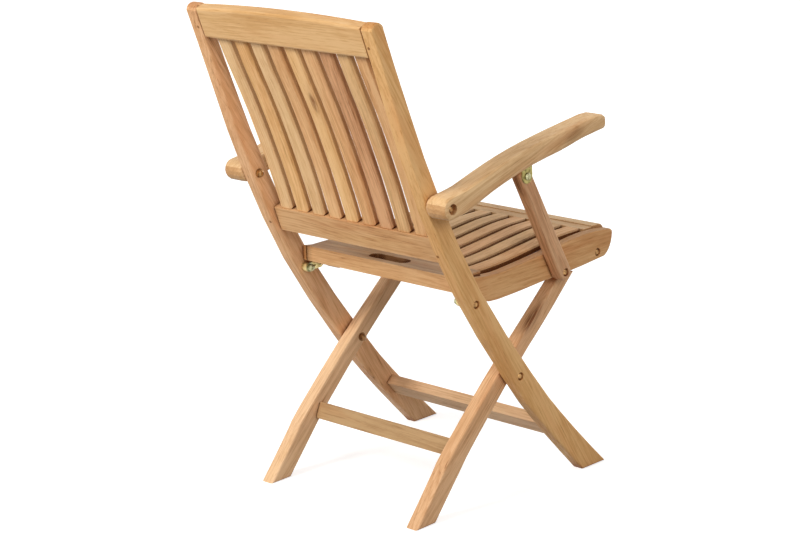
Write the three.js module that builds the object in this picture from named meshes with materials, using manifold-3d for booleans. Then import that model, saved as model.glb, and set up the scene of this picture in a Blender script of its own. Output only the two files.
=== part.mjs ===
// Folding teak armchair, in millimetres.
// X runs to the sitter's right, Y forward and Z up, with the feet on Z = 0.
// The side view (Y, Z) carries the whole mechanism, so most boards are side outlines sawn through X.
import * as THREE from 'three';
import { mergeVertices } from 'three/addons/utils/BufferGeometryUtils.js';
import Module from 'manifold-3d';

const wasm = await Module();
wasm.setup();

// Clearances
const GLUE_GAP = 0.3;
const BORE_CLEARANCE = 0.4;
const CUT_OVERRUN = 4;

// Back frame: two long legs that run up into the back stiles
const BACK_INNER_WIDTH = 404.8;
const LONG_LEG_THICKNESS = 26.8;
const CREST_HEIGHT = 900;
const CREST_RISE = 13;
const HEEL_FORWARD = 200;
const LONG_LEG_RUN = 494.5;
const LONG_FOOT_DEPTH = 63;
const LONG_LEG_EDGE_ROUND = 4;

// Short legs, crossing inside the long ones
const SHORT_LEG_THICKNESS = 27.4;
const LEG_CLEARANCE = 2.8;
const SHORT_LEG_HEIGHT = 370;
const HEEL_BEHIND_PIVOT = 246.9;
const SHORT_LEG_RUN = 398;
const SHORT_FOOT_DEPTH = 48;
const SHORT_LEG_EDGE_ROUND = 3.5;

// Pivots: each sits a little behind the middle of the long leg at its height
const PIVOT_SETBACK = 4;
const LEG_PIVOT_HEIGHT = 223;
const SEAT_PIVOT_HEIGHT = 380.5;
const ARM_PIVOT_HEIGHT = 576.5;
const POST_FOOT_FORWARD = 240;
const POST_FOOT_RISE = 3.5;

// Seat
const SEAT_CLEARANCE = 2.2;
const SEAT_BEHIND_PIVOT = 5.1;
const SEAT_DEPTH = 410;
const SEAT_UNDERSIDE = 364;
const SEAT_RAIL_HEIGHT = 68;
const SEAT_RAIL_THICKNESS = 22.2;
const SEAT_EDGE_ROUND = 3;
const SEAT_SLAT_COUNT = 8;
const SEAT_SLAT_MARGIN = 9.25;
const SEAT_SLAT_WIDTH = 33;
const SEAT_SLAT_THICKNESS = 13;
const SEAT_SLAT_EDGE_ROUND = 2.5;
const SEAT_SLAT_CROWN = 5;
const SEAT_SLAT_REAR_CROWN = 3.5;
const SEAT_SLAT_FRONT_CROWN = 1.5;
const SEAT_BOARD_DEPTH = 60;
const SEAT_BOARD_THICKNESS = 28;
const SEAT_BOARD_RISE = 59;
const SEAT_RAIL_REAR_SETBACK = 18;
const RAIL_REAR_RISE = 23;
const BOARD_END_COVER = 9;
const HAND_SLOT_LENGTH = 96;
const HAND_SLOT_WIDTH = 26;
const HAND_SLOT_SETBACK = 14;
const FRONT_RAIL_THICKNESS = 24;
const FRONT_RAIL_HEIGHT = 56;
const FRONT_RAIL_RISE = 1.5;
const NOSE_RAIL_THICKNESS = 32;
const NOSE_RAIL_RISE = 3;
const FRONT_BOLT_RISE = 27;
const FRONT_BOLT_LENGTH = 55;

// Back panel
const BACK_SLAT_COUNT = 9;
const BACK_SLAT_MARGIN = 17.3;
const BACK_SLAT_WIDTH = 31;
const BACK_SLAT_THICKNESS = 13.5;
const BACK_SLAT_EDGE_ROUND = 3;
const LUMBAR_BOW = 27;
const TOP_RAIL_DROP = 58;
const TOP_RAIL_HEIGHT = 56;
const TOP_RAIL_THICKNESS = 24;
const TOP_RAIL_CROWN = 6;
const TOP_RAIL_EDGE_ROUND = 4;
const LOW_RAIL_BOTTOM = 466;
const LOW_RAIL_HEIGHT = 48;
const LOW_RAIL_THICKNESS = 22;
const LOW_RAIL_RECESS = 13;
const LOW_RAIL_LEAN = 18.5;
const LOW_RAIL_EDGE_ROUND = 3;

// Tenons at the ends of slats, rails and stretchers
const TENON_LENGTH = 9;
const TENON_THICKNESS = 7;
const TENON_SHOULDER = 4;
const RAIL_TENON_LENGTH = 14;
const RAIL_TENON_THICKNESS = 11;
const RAIL_TENON_SHOULDER = 9;

// Stretchers
const FRONT_STRETCHER_HEIGHT = 95;
const FRONT_STRETCHER_DEPTH = 37;
const FRONT_STRETCHER_THICKNESS = 20.5;
const REAR_STRETCHER_HEIGHT = 108.5;
const REAR_STRETCHER_DEPTH = 31;
const REAR_STRETCHER_THICKNESS = 16;
const REAR_STRETCHER_LEAN = 24;
const REAR_STRETCHER_OFFSET = 12;
const STRETCHER_EDGE_ROUND = 3;

// Arms and their posts
const ARM_WIDTH = 47;
const ARM_REACH = 401;
const ARM_RISE = 95.5;
const ARM_KNUCKLE_RADIUS = 20;
const ARM_EDGE_ROUND = 7;
const ARM_TIP_ROUND = 10;
const POST_THICKNESS = 24;
const POST_HEAD_WIDTH = 28;
const POST_FOOT_WIDTH = 30;
const POST_EDGE_ROUND = 3.5;
const POST_SEAT_CLEARANCE = 2.4;

// Brass brackets
const PLATE_THICKNESS = 2;
const PLATE_CLEARANCE = 0.3;
const ARM_PLATE_WIDTH = 26;
const ARM_PLATE_RISE = 56;
const ARM_SCREW_RISE = 47;
const ARM_SCREW_SPREAD = 7;
const KNUCKLE_RADIUS = 8.6;
const KNUCKLE_LENGTH = 13;
const LEAF_THICKNESS = 3.2;
const LEAF_HEIGHT = 14;
const LEAF_LENGTH = 46;
const LEAF_DROP = 1.5;
const LEAF_SCREW_PITCH = 14;
const LEAF_TIP = 10;

// Fasteners
const BOLT_RADIUS = 4;
const BOLT_HEAD_RADIUS = 6.6;
const BOLT_HEAD_HEIGHT = 4;
const COUNTERBORE_RADIUS = 7.6;
const COUNTERBORE_DEPTH = 5.5;
const NUT_COUNTERBORE_RADIUS = 9;
const NUT_COUNTERBORE_DEPTH = 8;
const ARM_COUNTERBORE_RADIUS = 9.5;
const ARM_COUNTERBORE_DEPTH = 9;
const NUT_RADIUS = 6.4;
const NUT_HEIGHT = 5.5;
const NUT_DOME = 2.4;
const WASHER_RADIUS = 8.4;
const WASHER_THICKNESS = 1.2;
const SCREW_HOLE_RADIUS = 2.3;
const ROUND_SEGMENTS = 16;
const FASTENER_SEGMENTS = 12;
const CURVE_STEPS = 2;
const HALVINGS = 30;
const BACK_SLAT_STEPS = 8;
const HALF_ROUND_STEPS = 8;
const EDGE_STEPS = 2;
const SLAT_EDGE_STEPS = 1;

// Stations of the long leg from foot to crest: height, rear edge and depth,
// as shares of the crest height, of the run and of the foot's depth.
const longLegStationShares = [
  [0, 0, 1],
  [0.111, 0.185, 0.945],
  [0.222, 0.347, 0.87],
  [0.444, 0.614, 0.74],
  [0.667, 0.802, 0.605],
  [0.889, 0.94, 0.478],
  [0.9855, 1, 0.47],
];

// Stations of the short leg from foot to top, in the same three shares.
const shortLegStationShares = [
  [0, 0, 1],
  [0.2, 0.158, 1.05],
  [0.309, 0.245, 1.1],
  [0.612, 0.551, 1.02],
  [0.832, 0.799, 0.96],
  [1, 0.985, 0.83],
];

// Top of the seat from the board to the nose, as shares of the seat's depth and of the rail's height.
const seatDishShares = [
  [0.147, 0.735],
  [0.239, 0.7],
  [0.371, 0.75],
  [0.52, 0.825],
  [0.649, 0.91],
  [0.739, 0.975],
  [0.834, 1],
  [0.915, 0.985],
  [0.985, 0.935],
];

// Underside of a side rail from the nose back to its thin rear end, in the same two shares.
const railUndersideShares = [
  [0.902, 0.176],
  [0.739, 0.13],
  [0.524, 0.085],
  [0.36, 0.03],
  [0.19, 0.01],
  [0.13, 0.14],
];

// Nose of the seat, from its top corner round to the underside, in the same two shares.
const noseShares = [
  [1, 0.85],
  [0.99, 0.56],
  [0.968, 0.345],
  [0.9415, 0.225],
];

// Crown of the seat slats above the rails' top, as shares of the seat's depth and of the crown.
const slatCrownShares = [
  [0.239, 1],
  [0.371, 0.75],
  [0.52, 1],
  [0.649, 0.9],
  [0.739, 0.6],
];

// Top of an arm from the knuckle to the front end, as shares of its reach and rise.
const armTopShares = [
  [0.1, 0.275],
  [0.16, 0.345],
  [0.314, 0.53],
  [0.49, 0.7],
  [0.7, 0.84],
  [0.93, 0.965],
];
const armUndersideShares = [
  [0.965, 0.68],
  [0.835, 0.605],
  [0.7, 0.49],
  [0.506, 0.365],
  [0.3, 0.15],
  [0.18, -0.015],
  [0.09, -0.15],
];

// Bow of the back slats ahead of the stiles' rear edge: height along the slat, share of the lumbar bow.
const slatBowShares = [
  [0, 0.58],
  [0.27, 1],
  [0.57, 0.93],
  [0.82, 0.52],
  [1, 0.36],
];

// Angle at which the arm's underside meets its knuckle.
const knuckleStart = -Math.PI * 2 / 5;

// Bolt head: where its side starts to round over, and how wide its flat top is.
const headStepShare = 0.45;
const headTopShare = 0.6;

const innerFace = BACK_INNER_WIDTH / 2;
const outerFace = innerFace + LONG_LEG_THICKNESS;
const sides = { right: 1, left: -1 };

const teak = (colour) => new THREE.MeshStandardMaterial({ color: colour, roughness: 0.62, metalness: 0 });
const TEAK_LIGHT = 0xd9ac76;
const TEAK_WARM = 0xc9955c;
const brass = () => new THREE.MeshStandardMaterial({ color: 0xb09a55, roughness: 0.4, metalness: 0.9 });

const chair = new THREE.Group();

// Solid modelling helpers

function toSolid(geometry) {
  const bare = geometry.clone();
  bare.deleteAttribute('normal');
  bare.deleteAttribute('uv');
  const merged = mergeVertices(bare);
  return new wasm.Manifold(new wasm.Mesh({
    numProp: 3,
    vertProperties: Float32Array.from(merged.attributes.position.array),
    triVerts: Uint32Array.from(merged.index.array),
  }));
}

function toGeometry(solid) {
  const mesh = solid.getMesh();
  const geometry = new THREE.BufferGeometry();
  geometry.setAttribute('position', new THREE.BufferAttribute(Float32Array.from(mesh.vertProperties), 3));
  geometry.setIndex(Array.from(mesh.triVerts));
  geometry.computeVertexNormals();
  return geometry;
}

function cut(geometry, tools) {
  let solid = toSolid(geometry);
  for (const tool of tools) solid = solid.subtract(toSolid(tool));
  return toGeometry(solid);
}

function join(geometries) {
  let solid = toSolid(geometries[0]);
  for (const geometry of geometries.slice(1)) solid = solid.add(toSolid(geometry));
  return toGeometry(solid);
}

// Outline X and Y become the chair's Y and Z, and the saw's way through becomes X.
const sideways = new THREE.Matrix4().makeBasis(
  new THREE.Vector3(0, 1, 0),
  new THREE.Vector3(0, 0, 1),
  new THREE.Vector3(1, 0, 0),
);

// A board sawn to a side outline, from x = from to x = to, with its edges rounded.
function sawn(outline, from, to, round, edgeSteps = EDGE_STEPS) {
  const geometry = new THREE.ExtrudeGeometry(outline, {
    depth: to - from - 2 * round,
    bevelThickness: round,
    bevelSize: round,
    bevelOffset: -round,
    bevelSegments: edgeSteps,
    curveSegments: CURVE_STEPS,
  });
  geometry.translate(0, 0, from + round);
  return geometry.applyMatrix4(sideways);
}

// The same board for the chair's right or left side.
function sawnOn(side, outline, from, to, round) {
  return side > 0 ? sawn(outline, from, to, round) : sawn(outline, -to, -from, round);
}

// A rectangular bar along X with a rounded section, centred on (y, z) and leaning back by an angle.
function bar(width, depth, height, round, y, z, lean) {
  const outline = new THREE.Shape();
  outline.moveTo(-depth / 2, -height / 2);
  outline.lineTo(depth / 2, -height / 2);
  outline.lineTo(depth / 2, height / 2);
  outline.lineTo(-depth / 2, height / 2);
  outline.closePath();
  const geometry = sawn(outline, -width / 2, width / 2, round);
  geometry.rotateX(lean);
  return geometry.translate(0, y, z);
}

function box(x, y, z, width, depth, height, lean = 0) {
  const geometry = new THREE.BoxGeometry(width, depth, height);
  geometry.rotateX(lean);
  return geometry.translate(x, y, z);
}

// A turned piece on an axis along X: profile points are [distance along X, radius].
function turned(profile, segments = FASTENER_SEGMENTS) {
  const points = profile.map(([along, radius]) => new THREE.Vector2(radius, along));
  const geometry = new THREE.LatheGeometry(points, segments);
  return geometry.rotateZ(-Math.PI / 2);
}

// The same turned piece on an axis at (y, z), its profile running outward on either side of the chair.
function turnedOn(side, profile, y, z, segments = FASTENER_SEGMENTS) {
  const geometry = turned(profile, segments);
  if (side < 0) geometry.rotateZ(Math.PI);
  return geometry.translate(0, y, z);
}

function rodOn(side, from, to, radius, y, z) {
  return turnedOn(side, [[from, 0], [from, radius], [to, radius], [to, 0]], y, z, ROUND_SEGMENTS);
}

function add(name, geometry, material) {
  const mesh = new THREE.Mesh(geometry, material);
  mesh.name = name;
  chair.add(mesh);
}

// Round part of an outline, about a centre, from one angle to another, as a circle or an ellipse.
function roundEnd(outline, centre, radius, start, end, rise = radius) {
  const steps = Math.ceil(Math.abs(end - start) / Math.PI * HALF_ROUND_STEPS);
  for (let i = 0; i <= steps; i += 1) {
    const angle = start + (end - start) * i / steps;
    const y = centre.y + radius * Math.cos(angle);
    const z = centre.z + rise * Math.sin(angle);
    if (outline.curves.length === 0 && i === 0) outline.moveTo(y, z);
    else outline.lineTo(y, z);
  }
}

// Curves that several pieces share

function stations(shares, height, heel, run, depth) {
  return shares.map(([up, along, deep]) => ({
    z: up * height,
    rear: heel + along * run,
    front: heel + along * run + deep * depth,
  }));
}

const longStations = stations(
  longLegStationShares, CREST_HEIGHT, HEEL_FORWARD, -LONG_LEG_RUN, LONG_FOOT_DEPTH,
);
const splineOf = (points) => new THREE.SplineCurve(points.map(([y, z]) => new THREE.Vector2(y, z)));
const rearEdge = splineOf(longStations.map((s) => [s.rear, s.z]));
const frontEdge = splineOf(longStations.map((s) => [s.front, s.z]));

// The point of a rising curve at a height, found by halving.
function atHeight(curve, z) {
  let low = 0;
  let high = 1;
  for (let i = 0; i < HALVINGS; i += 1) {
    const middle = (low + high) / 2;
    if (curve.getPoint(middle).y < z) low = middle;
    else high = middle;
  }
  return curve.getPoint((low + high) / 2).x;
}

function leanOf(curve, zLow, zHigh) {
  return Math.atan2(atHeight(curve, zLow) - atHeight(curve, zHigh), zHigh - zLow);
}

function pivotOnLeg(z) {
  const y = (atHeight(rearEdge, z) + atHeight(frontEdge, z)) / 2 - PIVOT_SETBACK;
  return { y, z };
}

const legPivot = pivotOnLeg(LEG_PIVOT_HEIGHT);
const shortHeel = legPivot.y - HEEL_BEHIND_PIVOT;
const shortStations = stations(
  shortLegStationShares, SHORT_LEG_HEIGHT, shortHeel, SHORT_LEG_RUN, SHORT_FOOT_DEPTH,
);
const seatPivot = pivotOnLeg(SEAT_PIVOT_HEIGHT);
const armPivot = pivotOnLeg(ARM_PIVOT_HEIGHT);
const postFoot = { y: seatPivot.y + POST_FOOT_FORWARD, z: seatPivot.z + POST_FOOT_RISE };
const postHead = { y: armPivot.y + POST_FOOT_FORWARD, z: armPivot.z + POST_FOOT_RISE };

function legOutline(list, crestRise) {
  const outline = new THREE.Shape();
  const first = list[0];
  const last = list[list.length - 1];
  outline.moveTo(first.front, first.z);
  outline.splineThru(list.slice(1).map((s) => new THREE.Vector2(s.front, s.z)));
  if (crestRise > 0) {
    const centre = { y: (last.front + last.rear) / 2, z: last.z };
    const oneStep = Math.PI / HALF_ROUND_STEPS;
    roundEnd(outline, centre, (last.front - last.rear) / 2, oneStep, Math.PI, crestRise);
  } else {
    outline.lineTo(last.rear, last.z);
  }
  const down = list.slice(0, -1).reverse();
  outline.splineThru(down.map((s) => new THREE.Vector2(s.rear, s.z)));
  outline.closePath();
  return outline;
}

// Fasteners: cutters for their holes, then the turned pieces themselves

function boltHole(side, from, to, at) {
  const radius = BOLT_RADIUS + BORE_CLEARANCE;
  return turnedOn(side, [[from, 0], [from, radius], [to, radius], [to, 0]], at.y, at.z);
}

// The wide part of a counterbored hole, from its floor out past the face.
function counterbore(side, floor, face, radius, at) {
  return rodOn(side, floor, face, radius, at.y, at.z);
}

// A pan-headed bolt with its head's underside at x = seat and its tip at x = tip.
function boltAt(side, seat, tip, at) {
  return turnedOn(side, [
    [tip, 0],
    [tip, BOLT_RADIUS],
    [seat, BOLT_RADIUS],
    [seat, BOLT_HEAD_RADIUS],
    [seat + BOLT_HEAD_HEIGHT * headStepShare, BOLT_HEAD_RADIUS],
    [seat + BOLT_HEAD_HEIGHT, BOLT_HEAD_RADIUS * headTopShare],
    [seat + BOLT_HEAD_HEIGHT, 0],
  ], at.y, at.z);
}

// A washer and a domed nut on the inner end of a bolt, against a face at x = face.
function nutAt(side, face, at) {
  const bore = BOLT_RADIUS + BORE_CLEARANCE;
  const washerFace = face - GLUE_GAP;
  const nutFace = washerFace - WASHER_THICKNESS;
  const end = nutFace - NUT_HEIGHT;
  return turnedOn(side, [
    [end - NUT_DOME, 0],
    [end - NUT_DOME, NUT_RADIUS / 2],
    [end, NUT_RADIUS],
    [nutFace, NUT_RADIUS],
    [nutFace, WASHER_RADIUS],
    [washerFace, WASHER_RADIUS],
    [washerFace, bore],
    [end, bore],
    [end, 0],
  ], at.y, at.z);
}

// How far a bolt's tip reaches into its nut.
function tipIn(face) {
  return face - WASHER_THICKNESS - NUT_HEIGHT;
}

// Lateral layers, from the middle outward

const shortOuter = innerFace - LEG_CLEARANCE;
const shortInner = shortOuter - SHORT_LEG_THICKNESS;
const railOuter = innerFace - SEAT_CLEARANCE;
const railInner = railOuter - SEAT_RAIL_THICKNESS;
const postInner = railOuter + POST_SEAT_CLEARANCE;
const postOuter = postInner + POST_THICKNESS;
const plateInner = postOuter + PLATE_CLEARANCE;
const plateOuter = plateInner + PLATE_THICKNESS;
const armInner = Math.max(plateOuter, outerFace) + GLUE_GAP;
const armOuter = armInner + ARM_WIDTH;

// Heights and places along the seat

const seatBack = seatPivot.y - SEAT_BEHIND_PIVOT;
const seatY = (share) => seatBack + share * SEAT_DEPTH;
const seatZ = (share) => SEAT_UNDERSIDE + share * SEAT_RAIL_HEIGHT;
const boardFront = seatBack + SEAT_BOARD_DEPTH;
const boardHalf = railOuter - BOARD_END_COVER;
const boardTop = SEAT_UNDERSIDE + SEAT_BOARD_RISE;
const boardBottom = boardTop - SEAT_BOARD_THICKNESS;
const noseFront = seatBack + SEAT_DEPTH;
const noseRear = noseFront - NOSE_RAIL_THICKNESS;
const frontRailFront = noseRear - GLUE_GAP;
const frontRailRear = frontRailFront - FRONT_RAIL_THICKNESS;
const seatTop = SEAT_UNDERSIDE + SEAT_RAIL_HEIGHT;
const dish = splineOf([
  [boardFront + GLUE_GAP, seatZ(seatDishShares[0][1])],
  ...seatDishShares.slice(1).map(([along, up]) => [seatY(along), seatZ(up)]),
]);

// The seat's height over a point along its depth, found by halving.
function dishHeight(y) {
  let low = 0;
  let high = 1;
  for (let i = 0; i < HALVINGS; i += 1) {
    const middle = (low + high) / 2;
    if (dish.getPoint(middle).x < y) low = middle;
    else high = middle;
  }
  return dish.getPoint((low + high) / 2).y;
}

// Back panel: rails lean as the slats do

const topRailBottom = CREST_HEIGHT - TOP_RAIL_DROP;
const lowLean = THREE.MathUtils.degToRad(LOW_RAIL_LEAN);
const topLean = leanOf(rearEdge, topRailBottom, topRailBottom + TOP_RAIL_HEIGHT / 2);
const topRailAt = { z: topRailBottom + TOP_RAIL_HEIGHT / 2 * Math.cos(topLean) };
topRailAt.y = atHeight(rearEdge, topRailAt.z) + TOP_RAIL_THICKNESS / 2 / Math.cos(topLean);
const lowRailAt = { z: LOW_RAIL_BOTTOM + LOW_RAIL_HEIGHT / 2 * Math.cos(lowLean) };
lowRailAt.y = atHeight(rearEdge, lowRailAt.z) + LOW_RAIL_RECESS + LOW_RAIL_THICKNESS / 2 / Math.cos(lowLean);

// A bowed slat's rear and front edges run from one rail's middle to the other's.
const slatRearPoints = slatBowShares.map(([along, bow]) => {
  const z = lowRailAt.z + along * (topRailAt.z - lowRailAt.z);
  return [atHeight(rearEdge, z) + bow * LUMBAR_BOW, z];
});
const slatRear = splineOf(slatRearPoints);
const slatLean = leanOf(slatRear, lowRailAt.z, topRailAt.z);
const slatFront = splineOf(slatRearPoints.map(([y, z]) => [
  y + BACK_SLAT_THICKNESS * Math.cos(slatLean),
  z + BACK_SLAT_THICKNESS * Math.sin(slatLean),
]));

// How far along a slat's edge it meets a rail's face, which lies off the rail's middle by a distance.
function meeting(curve, rail, lean, distance) {
  let low = 0;
  let high = 1;
  for (let i = 0; i < HALVINGS; i += 1) {
    const middle = (low + high) / 2;
    const point = curve.getPoint(middle);
    const along = (point.y - rail.z) * Math.cos(lean) - (point.x - rail.y) * Math.sin(lean);
    if (along < distance) low = middle;
    else high = middle;
  }
  return (low + high) / 2;
}

const lowFace = LOW_RAIL_HEIGHT / 2 + GLUE_GAP;
const topFace = -TOP_RAIL_HEIGHT / 2 - GLUE_GAP;

// Tenons and their mortises: a bare box for the tenon, and one grown by the glue gap for the mortise

function slatTenon(x, along, at, lean, width, grow) {
  return box(
    x, at.y, at.z,
    width - 2 * TENON_SHOULDER + 2 * grow,
    along === 'y' ? 2 * TENON_LENGTH + 2 * grow : TENON_THICKNESS + 2 * grow,
    along === 'y' ? TENON_THICKNESS + 2 * grow : 2 * TENON_LENGTH + 2 * grow,
    lean,
  );
}

// A core running through a rail or stretcher and out at both ends as its tenons.
function railCore(depth, height, at, lean, grow) {
  const long = BACK_INNER_WIDTH + 2 * RAIL_TENON_LENGTH + 2 * grow;
  return box(0, at.y, at.z, long, depth + 2 * grow, height - 2 * RAIL_TENON_SHOULDER + 2 * grow, lean);
}

// Long legs, each one board from foot to crest

const footLean = leanOf(rearEdge, FRONT_STRETCHER_HEIGHT - FRONT_STRETCHER_DEPTH / 2,
  FRONT_STRETCHER_HEIGHT + FRONT_STRETCHER_DEPTH / 2);
const frontStretcherAt = {
  y: (atHeight(rearEdge, FRONT_STRETCHER_HEIGHT) + atHeight(frontEdge, FRONT_STRETCHER_HEIGHT)) / 2,
  z: FRONT_STRETCHER_HEIGHT,
};
const frontStretcherCore = (grow) => railCore(
  RAIL_TENON_THICKNESS, FRONT_STRETCHER_DEPTH, frontStretcherAt, footLean, grow,
);
const topRailCore = (grow) => railCore(RAIL_TENON_THICKNESS, TOP_RAIL_HEIGHT, topRailAt, topLean, grow);
const lowRailCore = (grow) => railCore(RAIL_TENON_THICKNESS, LOW_RAIL_HEIGHT, lowRailAt, lowLean, grow);

const longOutline = legOutline(longStations, CREST_RISE);
for (const [name, side] of Object.entries(sides)) {
  const blank = sawnOn(side, longOutline, innerFace, outerFace, LONG_LEG_EDGE_ROUND);
  const cutters = [
    frontStretcherCore(GLUE_GAP),
    topRailCore(GLUE_GAP),
    lowRailCore(GLUE_GAP),
    boltHole(side, innerFace - CUT_OVERRUN, outerFace + CUT_OVERRUN, armPivot),
  ];
  for (const pivot of [legPivot, seatPivot]) {
    cutters.push(boltHole(side, innerFace - CUT_OVERRUN, outerFace + CUT_OVERRUN, pivot));
    const floor = outerFace - COUNTERBORE_DEPTH;
    cutters.push(counterbore(side, floor, outerFace + CUT_OVERRUN, COUNTERBORE_RADIUS, pivot));
  }
  add(`long_leg_${name}`, cut(blank, cutters), teak(TEAK_LIGHT));
}

// Back panel: top rail with a crowned upper edge, lower rail, and bowed slats tenoned between them

const panelHalf = innerFace - GLUE_GAP;

function crownedRail() {
  const low = -TOP_RAIL_HEIGHT / 2;
  const high = TOP_RAIL_HEIGHT / 2;
  const outline = new THREE.Shape();
  outline.moveTo(-panelHalf, low);
  outline.lineTo(panelHalf, low);
  outline.lineTo(panelHalf, high);
  outline.quadraticCurveTo(0, high + 2 * TOP_RAIL_CROWN, -panelHalf, high);
  outline.closePath();
  const geometry = new THREE.ExtrudeGeometry(outline, {
    depth: TOP_RAIL_THICKNESS - 2 * TOP_RAIL_EDGE_ROUND,
    bevelThickness: TOP_RAIL_EDGE_ROUND,
    bevelSize: TOP_RAIL_EDGE_ROUND,
    bevelOffset: -TOP_RAIL_EDGE_ROUND,
    bevelSegments: EDGE_STEPS,
    curveSegments: ROUND_SEGMENTS,
  });
  geometry.translate(0, 0, TOP_RAIL_EDGE_ROUND - TOP_RAIL_THICKNESS / 2);
  geometry.rotateX(Math.PI / 2 + topLean);
  return geometry.translate(0, topRailAt.y, topRailAt.z);
}

const backSlatPitch = (2 * (innerFace - BACK_SLAT_MARGIN) - BACK_SLAT_WIDTH) / (BACK_SLAT_COUNT - 1);
const slatPlaces = Array.from({ length: BACK_SLAT_COUNT }, (_, i) => (
  (i - (BACK_SLAT_COUNT - 1) / 2) * backSlatPitch
));

// Middle of a back slat's thickness where it meets a rail.
function slatEnd(rail, lean, distance) {
  const rear = slatRear.getPoint(meeting(slatRear, rail, lean, distance));
  const front = slatFront.getPoint(meeting(slatFront, rail, lean, distance));
  return { y: (rear.x + front.x) / 2, z: (rear.y + front.y) / 2, lean };
}
const slatFoot = slatEnd(lowRailAt, lowLean, lowFace);
const slatHead = slatEnd(topRailAt, topLean, topFace);

const backTenons = (x, grow) => [slatFoot, slatHead].map((end) => (
  slatTenon(x, 'z', end, end.lean, BACK_SLAT_WIDTH, grow)
));

const backMortises = slatPlaces.flatMap((x) => backTenons(x, GLUE_GAP));
add('top_rail', cut(join([crownedRail(), topRailCore(0)]), backMortises), teak(TEAK_LIGHT));
const lowRailBlank = bar(
  2 * panelHalf, LOW_RAIL_THICKNESS, LOW_RAIL_HEIGHT, LOW_RAIL_EDGE_ROUND, lowRailAt.y, lowRailAt.z, lowLean,
);
add('lower_back_rail', cut(join([lowRailBlank, lowRailCore(0)]), backMortises), teak(TEAK_LIGHT));

// A bowed slat, cut at both ends to the rails' faces.
function backSlatOutline() {
  const outline = new THREE.Shape();
  const edge = (curve) => {
    const from = meeting(curve, lowRailAt, lowLean, lowFace);
    const to = meeting(curve, topRailAt, topLean, topFace);
    return Array.from({ length: BACK_SLAT_STEPS + 1 }, (_, i) => (
      curve.getPoint(from + (to - from) * i / BACK_SLAT_STEPS)
    ));
  };
  outline.setFromPoints([...edge(slatRear), ...edge(slatFront).reverse()]);
  outline.closePath();
  return outline;
}

const backSlat = backSlatOutline();
slatPlaces.forEach((x, i) => {
  const half = BACK_SLAT_WIDTH / 2;
  const blank = sawn(backSlat, x - half, x + half, BACK_SLAT_EDGE_ROUND, SLAT_EDGE_STEPS);
  add(`back_slat_${i + 1}`, join([blank, ...backTenons(x, 0)]), teak(TEAK_WARM));
});

const frontStretcherBlank = bar(
  2 * panelHalf, FRONT_STRETCHER_THICKNESS, FRONT_STRETCHER_DEPTH, STRETCHER_EDGE_ROUND,
  frontStretcherAt.y, frontStretcherAt.z, footLean,
);
add('front_stretcher', join([frontStretcherBlank, frontStretcherCore(0)]), teak(TEAK_WARM));

// Short legs and their stretcher

const shortOutline = legOutline(shortStations, 0);
const shortRear = splineOf(shortStations.map((s) => [s.rear, s.z]));
const shortFront = splineOf(shortStations.map((s) => [s.front, s.z]));
const rearStretcherAt = {
  y: (atHeight(shortRear, REAR_STRETCHER_HEIGHT) + atHeight(shortFront, REAR_STRETCHER_HEIGHT)) / 2
    + REAR_STRETCHER_OFFSET,
  z: REAR_STRETCHER_HEIGHT,
};
const rearLean = THREE.MathUtils.degToRad(-REAR_STRETCHER_LEAN);
const shortPanelHalf = shortInner - GLUE_GAP;
const rearStretcherCore = (grow) => box(
  0, rearStretcherAt.y, rearStretcherAt.z,
  2 * (shortInner + RAIL_TENON_LENGTH + grow),
  TENON_THICKNESS + 2 * grow,
  REAR_STRETCHER_DEPTH - 2 * TENON_SHOULDER + 2 * grow,
  rearLean,
);

for (const [name, side] of Object.entries(sides)) {
  const blank = sawnOn(side, shortOutline, shortInner, shortOuter, SHORT_LEG_EDGE_ROUND);
  const cutters = [
    rearStretcherCore(GLUE_GAP),
    boltHole(side, shortInner - CUT_OVERRUN, shortOuter + CUT_OVERRUN, legPivot),
  ];
  add(`short_leg_${name}`, cut(blank, cutters), teak(TEAK_LIGHT));
}
const rearStretcherBlank = bar(
  2 * shortPanelHalf, REAR_STRETCHER_THICKNESS, REAR_STRETCHER_DEPTH, STRETCHER_EDGE_ROUND,
  rearStretcherAt.y, rearStretcherAt.z, rearLean,
);
add('rear_stretcher', join([rearStretcherBlank, rearStretcherCore(0)]), teak(TEAK_WARM));

// Seat: side rails with a dished top, a housing for the rear board and a thin rear end over the brackets

const noseTop = seatTop + NOSE_RAIL_RISE;
const nosePoints = noseShares.map(([along, up]) => new THREE.Vector2(seatY(along), seatZ(up)));
const frontBolt = { y: (frontRailRear + frontRailFront) / 2, z: SEAT_UNDERSIDE + FRONT_BOLT_RISE };
const railRear = seatBack + SEAT_RAIL_REAR_SETBACK;

function sideRailOutline() {
  const outline = new THREE.Shape();
  const dishPoints = seatDishShares.slice(1).map(([along, up]) => new THREE.Vector2(seatY(along), seatZ(up)));
  const under = railUndersideShares.map(([along, up]) => new THREE.Vector2(seatY(along), seatZ(up)));
  outline.moveTo(railRear, boardBottom);
  outline.lineTo(seatBack, boardBottom);
  outline.lineTo(seatBack, boardTop);
  outline.lineTo(seatY(seatDishShares[0][0]), seatZ(seatDishShares[0][1]));
  outline.splineThru(dishPoints);
  outline.splineThru(nosePoints);
  outline.splineThru(under.slice(1));
  outline.lineTo(railRear, SEAT_UNDERSIDE + RAIL_REAR_RISE);
  outline.closePath();
  return outline;
}

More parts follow.
